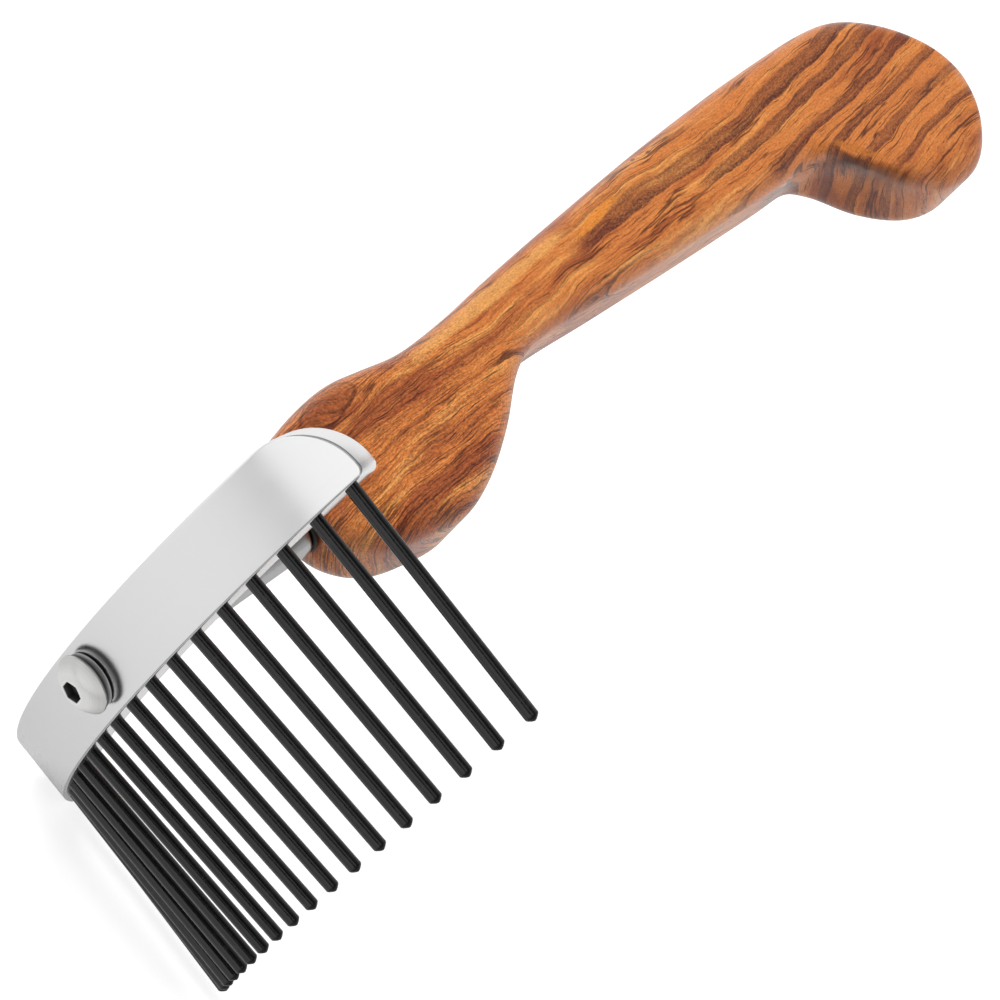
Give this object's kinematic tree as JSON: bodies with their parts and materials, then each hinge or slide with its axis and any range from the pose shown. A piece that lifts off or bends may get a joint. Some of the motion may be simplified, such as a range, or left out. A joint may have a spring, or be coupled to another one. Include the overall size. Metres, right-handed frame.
{
  "type": "grooming rake",
  "caption": "Hand grooming rake: a row of round black tines along the lower edge of a curved steel plate, screwed to a steel rod in a carved wood handle with a hooked end.",
  "frame": {"origin": "middle of the bounding box in X and Y, at its lowest Z: the rake lies on its side", "axes": "+X the way the tines point, +Y from the head to the end of the handle, +Z across the head"},
  "size_m": [0.0656, 0.2156, 0.1212],
  "materials": {
    "plate_steel": "satin brushed along its length",
    "tine_black": "glossy black coating",
    "screw_steel": "bright",
    "washer_steel": "dull",
    "rod_steel": "turned, satin",
    "spacer_black": "matte black",
    "handle_wood": "oiled, satin"
  },
  "bodies": {
    "root": {"head_plate": "plate_steel", "tine_01": "tine_black", "tine_02": "tine_black", "tine_03": "tine_black", "tine_04": "tine_black", "tine_05": "tine_black", "tine_06": "tine_black", "tine_07": "tine_black", "tine_08": "tine_black", "tine_09": "tine_black", "tine_10": "tine_black", "tine_11": "tine_black", "tine_12": "tine_black", "tine_13": "tine_black", "tine_14": "tine_black", "tine_15": "tine_black", "tine_16": "tine_black", "tine_17": "tine_black", "tine_18": "tine_black", "head_screw": "screw_steel", "lock_washer": "washer_steel", "support_rod": "rod_steel", "rod_spacer": "spacer_black", "wood_handle": "handle_wood"}
  },
  "joints": []
}
